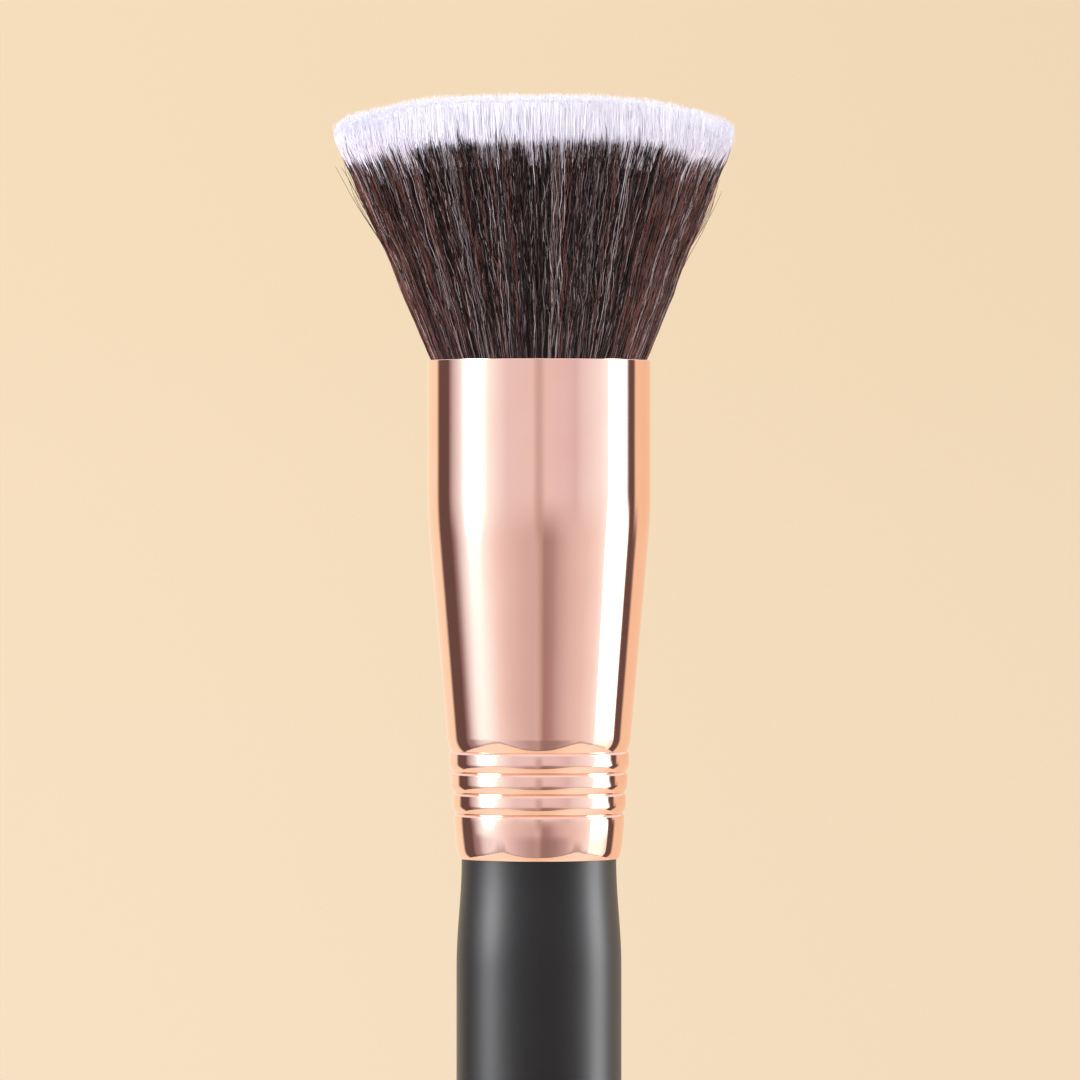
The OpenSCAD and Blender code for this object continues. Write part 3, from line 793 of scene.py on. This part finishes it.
def paper_behind(tree, x, z):
    """The paper that the camera sees, a little deeper at its upper right."""
    rightward = add(tree, "ShaderNodeMapRange", {"Value": x, "From Min": -0.08, "From Max": 0.08},
                    interpolation_type="SMOOTHSTEP")
    upward = add(tree, "ShaderNodeMapRange", {"Value": z, "From Min": -0.08, "From Max": 0.08},
                 interpolation_type="SMOOTHSTEP")
    low = add(tree, "ShaderNodeMix", {FACTOR: rightward, FROM: linear("#F8E1C3"),
                                      TO: linear("#F3DCBD")}, data_type="RGBA")
    high = add(tree, "ShaderNodeMix", {FACTOR: rightward, FROM: linear("#F6DEBC"),
                                       TO: linear("#F0D8B6")}, data_type="RGBA")
    return add(tree, "ShaderNodeMix", {FACTOR: upward, FROM: low, TO: high}, data_type="RGBA")


def reflected_room(tree, way, x, y, z):
    """The room by its directions, for reflections."""
    toward = add(tree, "ShaderNodeMath", {0: y, 1: -1.0}, operation="MULTIPLY")
    azimuth = add(tree, "ShaderNodeMath", {0: x, 1: toward}, operation="ARCTAN2")
    azimuth = add(tree, "ShaderNodeMath", {0: azimuth}, operation="DEGREES")
    below = add(tree, "ShaderNodeMath", {0: z}, operation="ARCSINE")
    below = add(tree, "ShaderNodeMath", {0: below, 1: -180 / math.pi}, operation="MULTIPLY")
    aside = add(tree, "ShaderNodeMath", {0: azimuth}, operation="ABSOLUTE")
    turn = add(tree, "ShaderNodeMapRange",
               {"Value": azimuth, "From Min": -180.0, "From Max": 180.0})
    around = add(tree, "ShaderNodeMapRange", {"Value": aside, "From Max": 180.0})

    # A ray's pitch is how far down it would leave the same ring of the ferrule in front
    half = add(tree, "ShaderNodeMath", {0: azimuth, 1: math.radians(0.5)}, operation="MULTIPLY")
    half = add(tree, "ShaderNodeMath", {0: half}, operation="COSINE")
    half = add(tree, "ShaderNodeMath", {0: half, 1: 0.3}, operation="MAXIMUM")
    pitch = add(tree, "ShaderNodeMath", {0: below, 1: half}, operation="DIVIDE")

    # In front, level, then lower down, then lower still
    level = add(tree, "ShaderNodeValToRGB", {"Fac": turn}, by_azimuth(LEVEL))
    low = add(tree, "ShaderNodeValToRGB", {"Fac": turn}, by_azimuth(LOW))
    depth = add(tree, "ShaderNodeMapRange", {"Value": pitch, "From Min": 0.0, "From Max": 11.5},
                interpolation_type="SMOOTHSTEP")
    room = add(tree, "ShaderNodeMix", {FACTOR: depth, FROM: level, TO: low}, data_type="RGBA")
    lowest = add(tree, "ShaderNodeValToRGB", {"Fac": turn}, by_azimuth(LOWEST))
    steep = add(tree, "ShaderNodeMapRange", {"Value": pitch, "From Min": 11.8, "From Max": 15.5},
                interpolation_type="SMOOTHSTEP")
    room = add(tree, "ShaderNodeMix", {FACTOR: steep, FROM: room, TO: lowest},
               data_type="RGBA", blend_type="DARKEN")

    # Above the gap, a thin dark line where two panels meet
    middle = add(tree, "ShaderNodeMapRange", {"Value": aside, "From Min": 8.0, "From Max": 0.5,
                                              "To Max": 0.5}, interpolation_type="SMOOTHSTEP")
    away = add(tree, "ShaderNodeMath", {0: pitch, 1: 3.5}, operation="SUBTRACT")
    away = add(tree, "ShaderNodeMath", {0: away}, operation="ABSOLUTE")
    away = add(tree, "ShaderNodeMapRange", {"Value": away, "From Min": 10.5, "From Max": 3.5},
               interpolation_type="SMOOTHSTEP")
    middle = add(tree, "ShaderNodeMath", {0: middle, 1: away}, operation="MULTIPLY")
    room = add(tree, "ShaderNodeMix", {FACTOR: middle, FROM: room, TO: (0.42, 0.32, 0.28, 1)},
               data_type="RGBA")

    # The table, slightly uneven along its dark edge, with the paper on it
    edge = add(tree, "ShaderNodeValToRGB", {"Fac": around},
               [(degrees / 180, (drop / EDGE_MOST,) * 3) for degrees, drop in TABLE_EDGE])
    edge.color_ramp.interpolation = "CARDINAL"
    ripple = add(tree, "ShaderNodeTexNoise", {"Vector": way, "Scale": 9.0, "Detail": 3.0})
    ripple = add(tree, "ShaderNodeMath", {0: ripple, 1: 3.0}, operation="MULTIPLY")
    edge = add(tree, "ShaderNodeMath", {0: edge, 1: EDGE_MOST, 2: ripple}, operation="MULTIPLY_ADD")
    past = add(tree, "ShaderNodeMath", {0: below, 1: edge}, operation="SUBTRACT")
    front = add(tree, "ShaderNodeMapRange", {"Value": aside, "From Min": 104.0, "From Max": 98.0,
                                             "To Max": 0.5}, interpolation_type="SMOOTHSTEP")
    dark = add(tree, "ShaderNodeMapRange", {"Value": past, "From Min": -6.0, "From Max": -1.0},
               interpolation_type="SMOOTHSTEP")
    dark = add(tree, "ShaderNodeMath", {0: dark, 1: front}, operation="MULTIPLY")
    room = add(tree, "ShaderNodeMix", {FACTOR: dark, FROM: room, TO: (0.14, 0.07, 0.06, 1)},
               data_type="RGBA")
    table = add(tree, "ShaderNodeMapRange", {"Value": past, "From Min": -0.6, "From Max": 0.6})
    paper = add(tree, "ShaderNodeValToRGB", {"Fac": around},
                [(degrees / 180, colour) for degrees, colour in TABLE_PAPER])
    room = add(tree, "ShaderNodeMix", {FACTOR: table, FROM: room, TO: paper}, data_type="RGBA")

    # Overhead
    overhead = add(tree, "ShaderNodeValToRGB", {"Fac": turn}, by_azimuth(OVERHEAD))
    boxes_end = add(tree, "ShaderNodeMapRange",
                    {"Value": below, "From Min": -18.0, "From Max": -34.0},
                    interpolation_type="SMOOTHSTEP")
    overhead = add(tree, "ShaderNodeMix", {FACTOR: boxes_end, FROM: overhead, TO: (*CEILING, 1)},
                   data_type="RGBA")
    above = add(tree, "ShaderNodeMapRange", {"Value": below, "From Min": -9.0, "From Max": -18.0},
                interpolation_type="SMOOTHSTEP")
    return add(tree, "ShaderNodeMix", {FACTOR: above, FROM: room, TO: overhead}, data_type="RGBA")


def studio_world():
    """Paper for the camera, the room for reflections, and for matt surfaces an even light,
    weaker from overhead."""
    world = bpy.data.worlds.new("studio")
    world.use_nodes = True
    bpy.context.scene.world = world
    tree = world.node_tree
    tree.nodes.clear()
    way = add(tree, "ShaderNodeTexCoord").outputs["Generated"]
    x, y, z = add(tree, "ShaderNodeSeparateXYZ", {0: way}).outputs
    seen = paper_behind(tree, x, z)
    room = reflected_room(tree, way, x, y, z)
    even = add(tree, "ShaderNodeMix", {FACTOR: z, FROM: (0.88, 0.88, 0.96, 1),
                                       TO: (0.6, 0.6, 0.65, 1)}, data_type="RGBA")
    rays = add(tree, "ShaderNodeLightPath")
    unseen = add(tree, "ShaderNodeMix", {FACTOR: rays.outputs["Is Glossy Ray"], FROM: even,
                                         TO: room}, data_type="RGBA")
    shown = add(tree, "ShaderNodeMix", {FACTOR: rays.outputs["Is Camera Ray"], FROM: unseen,
                                        TO: seen}, data_type="RGBA")
    background = add(tree, "ShaderNodeBackground", {"Color": shown, "Strength": 1.0})
    add(tree, "ShaderNodeOutputWorld", {"Surface": background})


AIM = Vector((0, 0, 60 * MM))
FLOOR_R = 0.9


def soft_box(name, facing, distance, lift, width, height, power):
    """An area lamp at an angle from the camera's direction, aimed at the ferrule. Its place
    and size are in metres."""
    data = bpy.data.lights.new(name, "AREA")
    data.shape = "RECTANGLE"
    data.size = width
    data.size_y = height
    data.energy = power
    lamp = bpy.data.objects.new(name, data)
    a = math.radians(facing)
    lamp.location = (distance * math.sin(a), -distance * math.cos(a), lift)
    lamp.rotation_euler = (AIM - lamp.location).to_track_quat("-Z", "Y").to_euler()
    lamp.visible_glossy = False
    bpy.context.scene.collection.objects.link(lamp)


def studio_floor():
    """A round pale floor that fades into the paper behind it."""
    bm = bmesh.new()
    bmesh.ops.create_circle(bm, cap_ends=True, segments=96, radius=FLOOR_R)
    bmesh.ops.translate(bm, verts=bm.verts, vec=(0, 0, FLOOR_Z))
    mesh = bpy.data.meshes.new("floor")
    bm.to_mesh(mesh)
    bm.free()
    floor = bpy.data.objects.new("floor", mesh)
    bpy.context.scene.collection.objects.link(floor)
    made, tree, surface, coords = material("peach_paper")
    flat = add(tree, "ShaderNodeMapping", {"Vector": coords, "Scale": (1.0, 1.0, 0.0)})
    reach = add(tree, "ShaderNodeVectorMath", {0: flat}, operation="LENGTH").outputs["Value"]
    fade = add(tree, "ShaderNodeMapRange", {"Value": reach, "From Min": 0.3, "From Max": 0.85,
                                            "To Min": 1.0, "To Max": 0.0},
               interpolation_type="SMOOTHSTEP")
    feed(tree, surface, {"Base Color": linear("#F3DCBD"), "Roughness": 0.9, "Alpha": fade})
    mesh.materials.append(made)
    floor.visible_glossy = False


studio_world()
studio_floor()
# Name, facing, distance, height above the origin, width, height and watts
soft_box("soft_box_left", -68, 2.0, 0.08, 0.75, 0.5, 47)
soft_box("soft_box_right", 86, 2.0, 0.08, 0.85, 0.5, 20)
soft_box("soft_box_top", 20, 0.7, 0.75, 0.7, 0.5, 1.9)
soft_box("soft_box_front", -6, 2.0, 0.15, 1.6, 0.5, 14)
soft_box("soft_box_back", 178, 2.0, 0.25, 1.6, 0.5, 8)

bpy.context.scene.view_settings.view_transform = "Standard"
